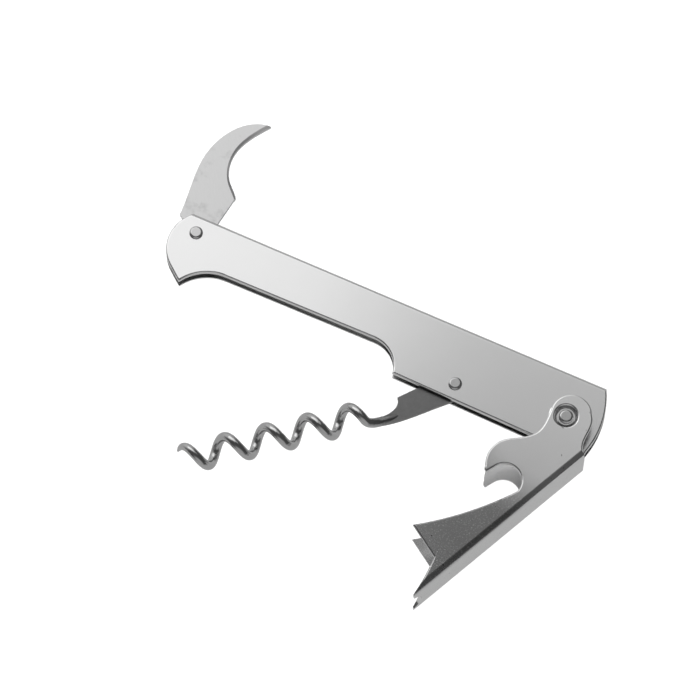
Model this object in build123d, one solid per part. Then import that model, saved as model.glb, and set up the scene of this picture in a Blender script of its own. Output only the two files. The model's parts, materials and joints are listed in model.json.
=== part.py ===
from build123d import *
from math import cos, pi, sin
import os

# Waiters corkscrew, in millimetres: a narrow folded steel handle that carries a foil knife, a wire
# worm and a boot lever, each on its own rivet.
#
# The frame: the axis of the lever's pivot is x = y = 0. +X runs along the handle, from the knife end
# to the lever end. +Y runs from the handle's open edge to its folded spine. +Z is up when the
# corkscrew lies on its side, and z = 0 is the lever's lower cheek, which it lies on.
#
# The knife, the worm and the lever are each drawn about their own pivot, with x running away from
# the pivot, and are then turned to the angle at which they stand at rest.

# Handle: one strip, folded along the spine and open below
HANDLE_THICKNESS = 4.4
HANDLE_SHEET = 1.0
SPINE_Y = 11.8
FOLD_RADIUS = 1.0
EDGE_ROLL = 0.45
KNIFE_SLOT_END_X = -67.0

# Boot lever: one wide channel
LEVER_WIDTH = 12.7
LEVER_SHEET = 1.0
LEVER_SPINE = 10.4
LEVER_BEND_RADIUS = 1.7
LEVER_EDGE_ROLL = 0.4
LEVER_SPINE_START = 3.1
LEVER_END = 56.6
LIP_NOTCH_R = 4.3
LIP_NOTCH_X = 58.6
LEVER_REST_ANGLE = 245.0

# Pressed dimple round the lever's pivot
DIMPLE_MOUTH_R = 2.95
DIMPLE_FLOOR_R = 2.2
DIMPLE_DEPTH = 1.3
DIMPLE_ROUND = 0.35

# Worm
WORM_REST_ANGLE = 218.5
WORM_OUTER_R = 4.05
WIRE_R = 1.17
WORM_PITCH = 10.15
WORM_AXIS_OFFSET = 1.9
HELIX_START = 21.7
HELIX_TURNS = 4.57
SWELL_SHARE = 0.05
POINT_SHARE = 0.06
WIRE_RINGS = 20
WIRE_START_R = 0.6
POINT_R = 0.25
TANG_EYE_R = 3.5

# Foil knife
KNIFE_REST_ANGLE = 90.0
KNIFE_TANG_R = 3.9
KNIFE_BEVEL_WIDTH = 0.6
KNIFE_BEVEL_DEPTH = 0.2

# Pivots in the handle
KNIFE_PIVOT = (-100.6, 7.35)
WORM_PIVOT = (-27.85, -2.15)
LEVER_PIVOT = (0.0, 0.0)

# Rivets, washers, sleeve and spring
PIN_R = 1.1
HEAD_R = 1.65
HEAD_HEIGHT = 0.65
HEAD_ROUND = 0.6
LEVER_PIN_R = 1.3
LEVER_HEAD_R = 1.75
RUNNING_GAP = 0.06
TANG_THICKNESS = 1.3
SHIM_R = 2.8
SLEEVE_R = 2.0
SPACER_R = 2.9
SPACER_END_GAP = 0.05
RIVET_WASHER_R = 2.1
RIVET_WASHER_THICKNESS = 0.5
SPRING_WIDTH = 2.0
SPRING_LEAF = 0.7
SPRING_BOTTOM_Y = 1.5
SPRING_EYE_R = 2.75

# Heights that several parts share
MID_Z = LEVER_WIDTH / 2
HANDLE_LOW = MID_Z - HANDLE_THICKNESS / 2
HANDLE_HIGH = MID_Z + HANDLE_THICKNESS / 2
GAP_LOW = HANDLE_LOW + HANDLE_SHEET
GAP_HIGH = HANDLE_HIGH - HANDLE_SHEET
TANG_LOW = MID_Z - TANG_THICKNESS / 2
TANG_HIGH = MID_Z + TANG_THICKNESS / 2
DIMPLE_INSIDE = DIMPLE_DEPTH + LEVER_SHEET
PAST_SPINE = LEVER_SPINE + 1.5


def plate(outline, bottom, top):
    """Sheet between two heights, from a closed outline in the XY plane."""
    face = Pos(0, 0, bottom) * make_face(outline)
    return extrude(face, amount=top - bottom, dir=(0, 0, 1))


def tube(pivot, bottom, top, outer, inner=0.0):
    """Round bar, or a ring when it has an inner radius, standing on a pivot."""
    upright = (Align.CENTER, Align.CENTER, Align.MIN)
    ring = Cylinder(outer, top - bottom, align=upright)
    if inner > 0:
        ring -= Cylinder(inner, top - bottom, align=upright)
    return Pos(pivot[0], pivot[1], bottom) * ring


def cone(bottom, top, bottom_r, top_r):
    """Round frustum on the local origin's axis."""
    upright = (Align.CENTER, Align.CENTER, Align.MIN)
    return Pos(0, 0, bottom) * Cone(bottom_r, top_r, top - bottom, align=upright)


def slab(x_range, y_range, z_range):
    """Rectangular block from its three ranges."""
    size = [high - low for low, high in (x_range, y_range, z_range)]
    corner = (x_range[0], y_range[0], z_range[0])
    return Pos(*corner) * Box(*size, align=(Align.MIN, Align.MIN, Align.MIN))


def over_mid(part):
    """The same part, mirrored to the other side of the middle plane."""
    return mirror(part, about=Plane.XY.offset(MID_Z))


def at_pivot(part, pivot, angle):
    """Turn a part about its own pivot, then move it to its place in the handle."""
    return Pos(pivot[0], pivot[1], 0) * Rot(0, 0, angle) * part


def handle_outline():
    """Side view: round knife end with a horn, a long recess for the worm, and a deep lever end."""
    knife_top = (-103.2, SPINE_Y)
    round_end = (-102.3, -3.2)
    horn = (-99.2, -5.6)
    recess = Line((-89.4, 0.15), (-50.2, 0.55))
    step = (-42.7, -5.8)
    heel = (5.4, -6.7)
    heel_end = (7.5, -5.0)
    lever_top = (5.6, SPINE_Y)
    return [
        ThreePointArc(knife_top, (-106.3, 3.2), round_end),
        ThreePointArc(round_end, (-100.7, -4.5), horn),
        TangentArc(recess @ 0, horn, tangent=-(recess % 0)),
        recess,
        TangentArc(recess @ 1, step, tangent=recess % 1),
        Line(step, heel),
        ThreePointArc(heel, (6.8, -6.4), heel_end),
        ThreePointArc(heel_end, (8.3, 1.6), lever_top),
        Line(lever_top, knife_top),
    ]


def folded_bar(length, thickness, spine_y, radius):
    """Long block from x = 0 with both upper corners rounded, the outside of a folded sheet."""
    depth = 40.0
    section = Pos(spine_y - depth / 2, MID_Z) * Rectangle(depth, thickness)
    section = fillet(section.vertices().group_by(Axis.X)[-1], radius)
    section = Plane((0, 0, 0), x_dir=(0, 1, 0), z_dir=(1, 0, 0)) * section
    return extrude(section, amount=length, dir=(1, 0, 0))


def rims(sheet, height, spine_y):
    """Edges of a flat sheet's outline at one height, without the one along the spine."""
    return [
        edge
        for edge in sheet.edges()
        if edge.bounding_box().max.Z < height + 0.01
        and edge.bounding_box().min.Z > height - 0.01
        and edge.bounding_box().min.Y < spine_y - 0.01
    ]


def handle_half():
    """Lower half of the folded strip: rolled edge, rounded fold, knife slot and three rivet holes."""
    half = plate(handle_outline(), HANDLE_LOW, MID_Z)
    half = fillet(rims(half, HANDLE_LOW, SPINE_Y), EDGE_ROLL)
    half &= Pos(-115, 0, 0) * folded_bar(140, HANDLE_THICKNESS, SPINE_Y, FOLD_RADIUS)
    half -= slab((-120, 20), (-20, SPINE_Y - HANDLE_SHEET), (GAP_LOW, HANDLE_HIGH))
    half -= slab((-120, KNIFE_SLOT_END_X), (0, 20), (GAP_LOW, HANDLE_HIGH))
    for pivot, radius in ((KNIFE_PIVOT, PIN_R), (WORM_PIVOT, PIN_R), (LEVER_PIVOT, LEVER_PIN_R)):
        half -= tube(pivot, HANDLE_LOW - 1, HANDLE_HIGH, radius)
    return half


def handle_shell():
    """Both halves of the folded strip in one piece."""
    return handle_half() + over_mid(handle_half())


def knife_outline():
    """Hawkbill blade that points along +X from its pivot, with its edge towards -Y."""
    back_corner = (3.35, 5.95)
    point = (33.3, -4.6)
    heel = (15.1, -2.4)
    nub = (13.1, -4.4)
    nub_end = (11.9, -4.4)
    neck_low = (2.4, -3.074)
    neck_high = (1.6, 3.557)
    return [
        Spline(back_corner, (12.6, 6.8), (20.0, 6.9), (26.1, 5.0), (30.3, 2.0), (32.5, -1.2), point),
        Spline(point, (29.5, -2.0), (23.6, 0.4), (18.8, 0.0), heel),
        Line(heel, nub),
        ThreePointArc(nub, (12.5, -4.6), nub_end),
        Line(nub_end, neck_low),
        ThreePointArc(neck_low, (-KNIFE_TANG_R, 0), neck_high),
        Line(neck_high, back_corner),
    ]


def foil_knife():
    """Flat blade, ground on one side along its hollow edge."""
    blade = plate(knife_outline(), TANG_LOW, TANG_HIGH)
    face = blade.faces().sort_by(Axis.Z)[-1]
    hollow_edge = [edge for edge in face.edges().filter_by(GeomType.BSPLINE) if edge.center().Y < 1]
    blade = chamfer(hollow_edge, KNIFE_BEVEL_WIDTH, KNIFE_BEVEL_DEPTH, reference=face)
    blade -= tube((0, 0), TANG_LOW, TANG_HIGH, PIN_R + RUNNING_GAP)
    return at_pivot(blade, KNIFE_PIVOT, KNIFE_REST_ANGLE)


def tang_outline():
    """Flattened end of the worm's wire: an eye, a widening arm, a square shoulder and a neck."""
    eye_top = (0.73, -3.423)
    shoulder = (14.1, -0.5)
    neck_top = (20.0, 3.3)
    neck_low = (20.0, 5.2)
    eye_low = (-0.42, 3.475)
    return [
        Line(eye_top, shoulder),
        Spline(shoulder, (14.6, 1.3), (16.2, 2.6), neck_top),
        Line(neck_top, neck_low),
        Spline(neck_low, (14.5, 5.2), (6.6, 4.2), eye_low),
        ThreePointArc(eye_low, (-TANG_EYE_R, 0), eye_top),
    ]


def helix_point(turn):
    """Point on the worm's centre line, turn by turn, from where the helix leaves the tang."""
    radius = WORM_OUTER_R - WIRE_R
    across = WORM_AXIS_OFFSET + radius * cos(2 * pi * turn)
    up = MID_Z + radius * sin(2 * pi * turn)
    return Vector(HELIX_START + WORM_PITCH * turn, across, up)


def wire_radius(share):
    """Wire's radius at a share of its length: it swells out of the tang and tapers to a point."""
    if share < SWELL_SHARE:
        return WIRE_START_R + (WIRE_R - WIRE_START_R) * share / SWELL_SHARE
    if share > 1 - POINT_SHARE:
        towards_point = (share - 1 + POINT_SHARE) / POINT_SHARE
        return WIRE_R - (WIRE_R - POINT_R) * towards_point**1.4
    return WIRE_R


def worm_wire():
    """Round wire that leaves the tang, coils to the right and ends in a point."""
    lead_in = [Vector(14.8, 3.9, MID_Z), Vector(17.6, 4.15, MID_Z), Vector(20.0, 4.35, MID_Z + 0.35)]
    first_turn = 0.12
    steps = 60
    turns = [first_turn + (HELIX_TURNS - first_turn) * i / steps for i in range(steps + 1)]
    centre = Spline(*lead_in, *[helix_point(turn) for turn in turns])
    shares = [i / WIRE_RINGS for i in range(WIRE_RINGS + 1)]
    rings = [(centre ^ share) * Circle(wire_radius(share)) for share in shares]
    return sweep(rings, path=centre, multisection=True)


def worm():
    """Tang and coil in one piece."""
    tang = plate(tang_outline(), TANG_LOW, TANG_HIGH)
    tang -= tube((0, 0), TANG_LOW, TANG_HIGH, PIN_R + RUNNING_GAP)
    return at_pivot(tang + worm_wire(), WORM_PIVOT, WORM_REST_ANGLE)


def lever_outline():
    """Side view, run past the spine: pivot ear, cap lifting hook, and a boot that flares to its lip."""
    spine_start = (LEVER_SPINE_START, PAST_SPINE)
    ear_side = (-4.9, 3.75)
    ear_top = (1.5, -3.6)
    neck_end = (13.8, -4.45)
    hook_back = (22.7, -3.25)
    hook_tip = (23.55, -1.9)
    hook_inside = (21.1, -1.5)
    notch_end = (21.2, 6.6)
    boot_lip = (45.4, -3.2)
    tail = (46.8, 6.05)
    prong = (LEVER_END, 9.9)
    prong_end = (LEVER_END, PAST_SPINE)
    return [
        Spline(spine_start, (3.0, 9.6), (1.9, 8.2), (-1.5, 6.5), ear_side),
        ThreePointArc(ear_side, (-4.9, -2.85), ear_top),
        Spline(ear_top, (4.8, -2.05), (7.5, -1.45), (10.1, -2.15), neck_end),
        ThreePointArc(neck_end, (18.0, -5.65), hook_back),
        Spline(hook_back, (23.5, -2.5), hook_tip),
        Line(hook_tip, hook_inside),
        ThreePointArc(hook_inside, (17.65, 2.5), notch_end),
        ThreePointArc(notch_end, (34.0, 2.5), boot_lip),
        Line(boot_lip, tail),
        Spline(tail, (50.1, 7.6), prong),
        Line(prong, prong_end),
        Line(prong_end, spine_start),
    ]


def dimple_wall():
    """Sheet that is pressed inwards round the pivot of the lower cheek."""
    wall = 0.9
    return cone(LEVER_SHEET / 2, DIMPLE_INSIDE, DIMPLE_MOUTH_R + 1.2, DIMPLE_FLOOR_R + wall)


def lever_half():
    """Lower half of the channel, with its edge rolled and its bend rounded."""
    half = plate(lever_outline(), 0, LEVER_WIDTH)
    half = fillet(rims(half, 0, PAST_SPINE), LEVER_EDGE_ROLL)
    inner_width = LEVER_WIDTH - 2 * LEVER_SHEET
    inner_radius = LEVER_BEND_RADIUS - LEVER_SHEET
    half &= Pos(-20, 0, 0) * folded_bar(90, LEVER_WIDTH, LEVER_SPINE, LEVER_BEND_RADIUS)
    half -= Pos(-20, 0, 0) * folded_bar(90, inner_width, LEVER_SPINE - LEVER_SHEET, inner_radius)
    return half & slab((-20, 70), (-20, 20), (-1, MID_Z))


def boot_lever():
    """Channel with a notched boot, and a dimple and a bore at its pivot."""
    lever = lever_half() + over_mid(lever_half())
    lever -= Pos(LIP_NOTCH_X, LEVER_SPINE, MID_Z) * Rot(90, 0, 0) * Cylinder(LIP_NOTCH_R, 8)
    hollow = cone(-0.01, DIMPLE_DEPTH, DIMPLE_MOUTH_R, DIMPLE_FLOOR_R)
    lever += [dimple_wall(), over_mid(dimple_wall())]
    lever -= [hollow, over_mid(hollow)]
    lever -= tube((0, 0), -1, LEVER_WIDTH + 1, LEVER_PIN_R + RUNNING_GAP)
    mouths = [edge for edge in lever.edges().filter_by(GeomType.CIRCLE) if is_dimple_mouth(edge)]
    lever = fillet(mouths, DIMPLE_ROUND)
    return at_pivot(lever, LEVER_PIVOT, LEVER_REST_ANGLE)


def is_dimple_mouth(edge):
    """True for the circle where a dimple meets its cheek's outer face."""
    height = edge.center().Z
    on_face = min(abs(height), abs(height - LEVER_WIDTH)) < 0.01
    return on_face and abs(edge.radius - DIMPLE_MOUTH_R) < 0.05


def rivet(pivot, bottom, top, radius, head_radius):
    """Pin between two seats, with a round-edged head outside each one."""
    head = tube((0, 0), 0, HEAD_HEIGHT, head_radius)
    head = fillet(head.edges().group_by(Axis.Z)[-1], HEAD_ROUND)
    pin = tube((0, 0), bottom, top, radius)
    pin += [Pos(0, 0, top) * head, Pos(0, 0, bottom) * Rot(180, 0, 0) * head]
    return at_pivot(pin, pivot, 0)


def shim(pivot):
    """Thin washer between the lower cheek of the handle and a tang."""
    return tube(pivot, GAP_LOW, TANG_LOW, SHIM_R, PIN_R)


def lever_spacer():
    """Ring that fills the room between the handle and the lever's lower dimple."""
    return tube(LEVER_PIVOT, DIMPLE_INSIDE + SPACER_END_GAP, HANDLE_LOW, SPACER_R, LEVER_PIN_R)


def rivet_washer():
    """Ring in the lower dimple, under the head of the long rivet."""
    low = DIMPLE_DEPTH - RIVET_WASHER_THICKNESS
    return tube(LEVER_PIVOT, low, DIMPLE_DEPTH, RIVET_WASHER_R, LEVER_PIN_R)


def back_spring():
    """Leaf with an eye on the sleeve, which runs above the worm's tang to the foot of the knife."""
    top = SPRING_BOTTOM_Y + SPRING_LEAF
    toe_x = KNIFE_PIVOT[0] + 0.4
    toe_y = KNIFE_PIVOT[1] - KNIFE_TANG_R - 0.1
    bend_x = -93.0
    outline = [
        Line((0, SPRING_BOTTOM_Y), (bend_x, SPRING_BOTTOM_Y)),
        Line((bend_x, SPRING_BOTTOM_Y), (toe_x, toe_y - SPRING_LEAF)),
        Line((toe_x, toe_y - SPRING_LEAF), (toe_x, toe_y)),
        Line((toe_x, toe_y), (bend_x, top)),
        Line((bend_x, top), (0, top)),
        Line((0, top), (0, SPRING_BOTTOM_Y)),
    ]
    low = MID_Z - SPRING_WIDTH / 2
    high = MID_Z + SPRING_WIDTH / 2
    spring = plate(outline, low, high) + tube(LEVER_PIVOT, low, high, SPRING_EYE_R)
    spring -= tube(LEVER_PIVOT, low, high, SLEEVE_R + RUNNING_GAP)
    return spring


def all_parts():
    """Every part by its node's name."""
    washer_low = DIMPLE_DEPTH - RIVET_WASHER_THICKNESS
    return {
        "handle_shell": handle_shell(),
        "back_spring": back_spring(),
        "foil_knife": foil_knife(),
        "knife_rivet": rivet(KNIFE_PIVOT, HANDLE_LOW, HANDLE_HIGH, PIN_R, HEAD_R),
        "knife_shim_back": shim(KNIFE_PIVOT),
        "knife_shim_front": over_mid(shim(KNIFE_PIVOT)),
        "worm": worm(),
        "worm_rivet": rivet(WORM_PIVOT, HANDLE_LOW, HANDLE_HIGH, PIN_R, HEAD_R),
        "worm_shim_back": shim(WORM_PIVOT),
        "worm_shim_front": over_mid(shim(WORM_PIVOT)),
        "boot_lever": boot_lever(),
        "lever_rivet": rivet(
            LEVER_PIVOT, washer_low, LEVER_WIDTH - washer_low, LEVER_PIN_R, LEVER_HEAD_R
        ),
        "lever_sleeve": tube(LEVER_PIVOT, GAP_LOW, GAP_HIGH, SLEEVE_R, LEVER_PIN_R),
        "lever_spacer_back": lever_spacer(),
        "lever_spacer_front": over_mid(lever_spacer()),
        "rivet_washer_back": rivet_washer(),
        "rivet_washer_front": over_mid(rivet_washer()),
    }


os.makedirs("parts", exist_ok=True)
for node, part in all_parts().items():
    export_step(part, f"parts/{node}.step")
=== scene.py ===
import json
import math

import bpy
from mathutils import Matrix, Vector


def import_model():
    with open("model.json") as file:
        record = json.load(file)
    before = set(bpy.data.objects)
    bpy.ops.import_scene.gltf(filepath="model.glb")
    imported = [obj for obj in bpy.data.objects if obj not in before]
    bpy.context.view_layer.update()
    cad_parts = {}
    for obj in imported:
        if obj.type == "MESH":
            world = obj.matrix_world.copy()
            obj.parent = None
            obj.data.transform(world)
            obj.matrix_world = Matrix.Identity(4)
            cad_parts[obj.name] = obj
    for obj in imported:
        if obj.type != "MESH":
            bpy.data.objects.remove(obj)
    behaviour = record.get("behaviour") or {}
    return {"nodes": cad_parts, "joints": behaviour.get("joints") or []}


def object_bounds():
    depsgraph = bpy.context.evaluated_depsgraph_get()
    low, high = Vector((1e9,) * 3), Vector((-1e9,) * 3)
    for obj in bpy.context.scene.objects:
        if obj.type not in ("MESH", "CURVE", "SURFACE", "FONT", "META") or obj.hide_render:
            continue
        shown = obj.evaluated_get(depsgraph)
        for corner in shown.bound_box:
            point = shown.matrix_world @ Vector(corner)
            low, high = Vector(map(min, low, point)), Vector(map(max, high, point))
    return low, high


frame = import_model()
cad_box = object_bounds()

# Camera: where it stands round the part and how much it sees, in radians and metres
AZIMUTH = math.radians(24.4)
ELEVATION = math.radians(70)
CAMERA_DISTANCE = 1.2
VIEW_WIDTH = 0.1681
VIEW_CENTRE = (-0.0546, -0.0040, 0.0)
SENSOR = 0.036

# Studio: two level panels of light, a glow at the upper left and a lower one in front
PANEL_HEIGHT = 0.35
LEFT_PANEL = {"x_range": (-0.60, -0.10), "y_range": (0.0, 0.34), "radiance": 0.95}
RIGHT_PANEL = {"x_range": (-0.10, 0.06), "y_range": (0.08, 0.32), "radiance": 0.48}
FLOOR_WASH = 3.0
UPPER_GLOW = {"direction": (-0.75, 0.60, 0.25), "start": 0.45, "full": 0.98, "low": 0.09, "high": 0.72}
FRONT_GLOW = {"direction": (0.35, -0.85, 0.30), "start": 0.68, "full": 0.95, "low": 0.0, "high": 0.42}
BACKDROP = 0.98

# Paper floor: how pale it is, and how much of that the steel mirrors, the dimming being painted shade in
# its reflection
PAPER_SHADE = 0.93
MIRRORED_FLOOR_SHADE = 0.45
FLOOR_SIZE = 1.6
FLOOR_CENTRE_X = -0.05
FLOOR_GAP = 0.0002

# Depth of every surface relief, in metres
RELIEF = 0.00001


def joint_place(name):
    """Where a joint's axis crosses the part, as a point in metres."""
    joint = next(j for j in frame["joints"] if j["name"] == name)
    return Vector(joint["pos_m"])


# ---------------------------------------------------------------- node helpers


class Nodes:
    """Node tree of a material or a world, with short calls that add a node and link its inputs."""

    def __init__(self, owner):
        self.owner = owner
        owner.use_nodes = True
        self.tree = owner.node_tree
        self.tree.nodes.clear()

    def add(self, kind, inputs=None, **settings):
        """New node with its settings; an input is a value or another node's output."""
        node = self.tree.nodes.new(kind)
        for key, value in settings.items():
            setattr(node, key, value)
        for key, value in (inputs or {}).items():
            self.feed(node.inputs[key], value)
        return node

    def feed(self, socket, value):
        if isinstance(value, bpy.types.NodeSocket):
            self.tree.links.new(value, socket)
        else:
            socket.default_value = value

    def math(self, operation, a, b=0.0):
        return self.add("ShaderNodeMath", {0: a, 1: b}, operation=operation).outputs[0]

    def vector(self, operation, a, b):
        """Vector operation whose result is a number."""
        return self.add("ShaderNodeVectorMath", {0: a, 1: b}, operation=operation).outputs["Value"]

    def place(self):
        return self.add("ShaderNodeTexCoord").outputs["Object"]

    def stretched(self, scale, angle):
        """Object coordinates, turned about Z and then scaled by axis."""
        turned = self.add("ShaderNodeMapping", {"Vector": self.place(), "Rotation": (0, 0, angle)})
        return self.add("ShaderNodeMapping", {"Vector": turned.outputs[0], "Scale": scale}).outputs[0]

    def noise(self, vector, scale, detail=3.0, rough=0.5):
        inputs = {"Vector": vector, "Scale": scale, "Detail": detail, "Roughness": rough}
        return self.add("ShaderNodeTexNoise", inputs).outputs["Fac"]

    def spread(self, value, low, high, to_low, to_high):
        """A value moved smoothly from one range to another, held at both ends."""
        inputs = {"Value": value, "From Min": low, "From Max": high, "To Min": to_low, "To Max": to_high}
        return self.add("ShaderNodeMapRange", inputs, interpolation_type="SMOOTHSTEP").outputs[0]

    def grey(self, value):
        return self.add("ShaderNodeCombineColor", {"Red": value, "Green": value, "Blue": value}).outputs[0]

    def metal(self, shade, roughness, relief, strength):
        """Metal whose reflectance is a grey value, with a faint relief; returns the material."""
        bump = self.add("ShaderNodeBump", {"Height": relief, "Strength": strength, "Distance": RELIEF})
        inputs = {"Base Color": self.grey(shade), "Metallic": 1.0, "Roughness": roughness}
        inputs["Normal"] = bump.outputs[0]
        shader = self.add("ShaderNodeBsdfPrincipled", inputs)
        self.add("ShaderNodeOutputMaterial", {"Surface": shader.outputs[0]})
        return self.owner


def new_material(name):
    return Nodes(bpy.data.materials.new(name))


# ------------------------------------------------------------------- materials
# Shades are reflectances from 0 to 1. A noise scale counts features per metre.


def handle_steel():
    """Polished sheet with a fine lengthwise grain and faint clouding."""
    n = new_material("handle_steel")
    grain = n.noise(n.stretched((120, 2600, 2600), 0.0), 1.0, 4.0, 0.6)
    cloud = n.noise(n.place(), 55.0)
    tone = n.math("ADD", 0.725, n.math("MULTIPLY", cloud, 0.05))
    tone = n.math("ADD", tone, n.math("MULTIPLY", grain, 0.04))
    rough = n.math("ADD", 0.19, n.math("MULTIPLY", grain, 0.06))
    return n.metal(tone, rough, grain, 0.25)


def plain_steel(name, shade, roughness):
    """Even steel with fine pits, for small parts."""
    n = new_material(name)
    pits = n.noise(n.place(), 900.0, 4.0, 0.6)
    tone = n.math("ADD", shade - 0.04, n.math("MULTIPLY", pits, 0.08))
    rough = n.math("ADD", roughness - 0.05, n.math("MULTIPLY", pits, 0.10))
    return n.metal(tone, rough, pits, 0.2)


def lever_steel():
    """Polished round the pivot; grainy and rougher on the boot's cheeks, whose tone is also painted darker
    as shade for the dimmer reflections their inward lean catches. A few dark pits.
    """
    n = new_material("lever_steel")
    pivot = joint_place("lever_fold")
    reach = n.vector("DISTANCE", n.place(), pivot)
    height = n.add("ShaderNodeSeparateXYZ", {"Vector": n.place()}).outputs["Z"]
    from_middle = n.math("ABSOLUTE", n.math("SUBTRACT", height, pivot.z))
    cheek = n.spread(from_middle, 0.0050, 0.0060, 0.0, 1.0)
    # Mask of the boot's cheeks, carrying both their real grain and their painted shade; the shade eases
    # off a little towards the boot's end.
    boot = n.math("MULTIPLY", n.spread(reach, 0.017, 0.031, 0.0, 1.0), cheek)
    boot = n.math("MULTIPLY", boot, n.spread(reach, 0.040, 0.054, 1.0, 0.75))
    speckle = n.noise(n.place(), 2600.0, 2.0, 0.7)
    sparkle = n.math("MULTIPLY", n.spread(speckle, 0.54, 0.70, 0.0, 0.30), boot)
    cloud = n.noise(n.place(), 60.0)
    pits = n.spread(n.noise(n.place(), 1100.0, 1.0, 0.4), 0.735, 0.78, 0.0, 0.35)
    # Painted shade: the boot's cheeks are darkened to stand in for the dimmer reflections they catch.
    tone = n.math("SUBTRACT", 0.78, n.math("MULTIPLY", boot, 0.46))
    tone = n.math("ADD", tone, n.math("MULTIPLY", n.math("SUBTRACT", cloud, 0.5), 0.10))
    tone = n.math("SUBTRACT", n.math("ADD", tone, sparkle), pits)
    rough = n.math("ADD", 0.18, n.math("MULTIPLY", boot, 0.10))
    return n.metal(tone, rough, speckle, 0.3)


def blade_steel():
    """Tumbled sheet with fine scratches and cloudy stains."""
    n = new_material("blade_steel")
    scratch = n.noise(n.stretched((500, 2400, 2400), math.radians(55)), 1.0, 4.0, 0.7)
    stains = n.spread(n.noise(n.place(), 240.0, 4.0, 0.6), 0.52, 0.75, 0.0, 0.14)
    tone = n.math("ADD", 0.60, n.math("MULTIPLY", scratch, 0.07))
    tone = n.math("SUBTRACT", tone, stains)
    rough = n.math("ADD", 0.30, n.math("MULTIPLY", scratch, 0.08))
    return n.metal(tone, rough, scratch, 0.3)


def worm_steel():
    """Polished wire that turns rougher and darker near the pivot, over its flattened tang."""
    n = new_material("worm_steel")
    pits = n.noise(n.place(), 900.0, 4.0, 0.6)
    uneven = n.math("MULTIPLY", pits, 0.06)
    reach = n.vector("DISTANCE", n.place(), joint_place("worm_fold"))
    tone = n.math("ADD", n.spread(reach, 0.017, 0.023, 0.17, 0.50), uneven)
    rough = n.math("ADD", n.spread(reach, 0.017, 0.023, 0.30, 0.14), uneven)
    return n.metal(tone, rough, pits, 0.2)


def dress_nodes():
    """Give each CAD node its steel; rivets share one, and the washers, shims and sleeve another."""
    steels = {
        "handle_shell": handle_steel(),
        "back_spring": plain_steel("spring_steel", 0.35, 0.35),
        "foil_knife": blade_steel(),
        "worm": worm_steel(),
        "boot_lever": lever_steel(),
    }
    rivet_steel = plain_steel("rivet_steel", 0.55, 0.25)
    washer_steel = plain_steel("washer_steel", 0.68, 0.25)
    for node, obj in frame["nodes"].items():
        small = rivet_steel if node.endswith("_rivet") else washer_steel
        obj.data.materials.clear()
        obj.data.materials.append(steels.get(node, small))


# ----------------------------------------------------------------------- stage


def floor():
    """Pale paper under the part, dimmer to mirror rays than to the camera: painted shade in the steel's
    reflection, standing in for the floor's shadow beside the part.
    """
    n = new_material("floor_paper")
    shade = n.math("ADD", PAPER_SHADE, n.math("MULTIPLY", n.noise(n.place(), 400.0), 0.004))
    mirrored = n.add("ShaderNodeLightPath").outputs["Is Glossy Ray"]
    # Painted shade: mirror rays see the paper darker, as if it lay in the shadow beside the part.
    shade = n.math("MULTIPLY", shade, n.spread(mirrored, 0.0, 1.0, 1.0, MIRRORED_FLOOR_SHADE))
    inputs = {"Base Color": n.grey(shade), "Roughness": 0.9, "Specular IOR Level": 0.1}
    shader = n.add("ShaderNodeBsdfPrincipled", inputs)
    n.add("ShaderNodeOutputMaterial", {"Surface": shader.outputs[0]})
    level = cad_box[0][2] - FLOOR_GAP
    bpy.ops.mesh.primitive_plane_add(size=FLOOR_SIZE, location=(FLOOR_CENTRE_X, 0.0, level))
    plane = bpy.context.object
    plane.name = "floor"
    plane.data.materials.append(n.owner)


def panel(name, x_range, y_range, radiance):
    """Level light panel that faces down; the camera doesn't see it."""
    light = bpy.data.lights.new(name, "AREA")
    light.shape = "RECTANGLE"
    light.size = x_range[1] - x_range[0]
    light.size_y = y_range[1] - y_range[0]
    light.energy = radiance * math.pi * light.size * light.size_y
    obj = bpy.data.objects.new(name, light)
    obj.location = (sum(x_range) / 2, sum(y_range) / 2, PANEL_HEIGHT)
    obj.visible_camera = False
    bpy.context.scene.collection.objects.link(obj)


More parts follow.
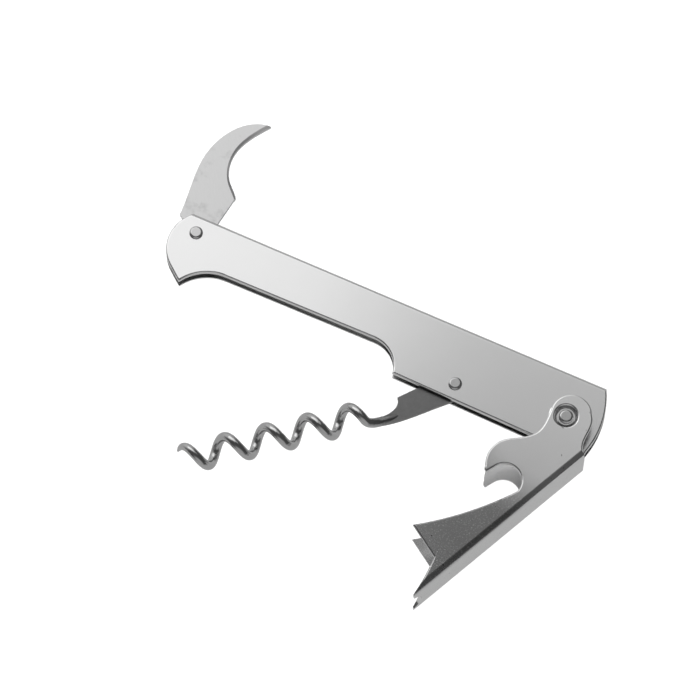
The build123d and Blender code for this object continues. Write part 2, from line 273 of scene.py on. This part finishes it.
def floor_wash():
    """Shadowless light on the paper alone: metal has no diffuse part and doesn't mirror it."""
    light = bpy.data.lights.new("floor_wash", "SUN")
    light.energy = FLOOR_WASH
    light.angle = 0.5
    light.use_shadow = False
    obj = bpy.data.objects.new("floor_wash", light)
    obj.visible_glossy = False
    bpy.context.scene.collection.objects.link(obj)


def world():
    """Studio walls: two soft glows in the steel, and one plain tone to the camera."""
    studio = bpy.data.worlds.new("studio")
    bpy.context.scene.world = studio
    n = Nodes(studio)
    way = n.add("ShaderNodeTexCoord").outputs["Generated"]

    def glow(direction, start, full, low, high):
        """Light that grows from low to high as a ray turns towards a direction."""
        towards = n.vector("DOT_PRODUCT", way, Vector(direction).normalized())
        return n.spread(towards, start, full, low, high)

    total = n.math("ADD", glow(**UPPER_GLOW), glow(**FRONT_GLOW))
    seen = n.add("ShaderNodeLightPath").outputs["Is Camera Ray"]
    strength = n.add("ShaderNodeMix", {"Factor": seen, "A": total, "B": BACKDROP}, data_type="FLOAT")
    back = n.add("ShaderNodeBackground", {"Strength": strength.outputs["Result"], "Color": (1, 1, 1, 1)})
    n.add("ShaderNodeOutputWorld", {"Surface": back.outputs[0]})


def camera():
    target = joint_place("lever_fold") + Vector(VIEW_CENTRE)
    outwards = Vector((
        math.sin(AZIMUTH) * math.cos(ELEVATION),
        -math.cos(AZIMUTH) * math.cos(ELEVATION),
        math.sin(ELEVATION),
    ))
    data = bpy.data.cameras.new("camera")
    data.sensor_width = SENSOR * 1000
    data.lens = data.sensor_width * CAMERA_DISTANCE / VIEW_WIDTH
    data.clip_start = 0.01
    obj = bpy.data.objects.new("camera", data)
    obj.location = target + outwards * CAMERA_DISTANCE
    obj.rotation_euler = (target - obj.location).to_track_quat("-Z", "Y").to_euler()
    bpy.context.scene.collection.objects.link(obj)
    bpy.context.scene.camera = obj


dress_nodes()
floor()
world()
floor_wash()
panel("left_panel", **LEFT_PANEL)
panel("right_panel", **RIGHT_PANEL)
camera()
bpy.context.scene.view_settings.view_transform = "Standard"
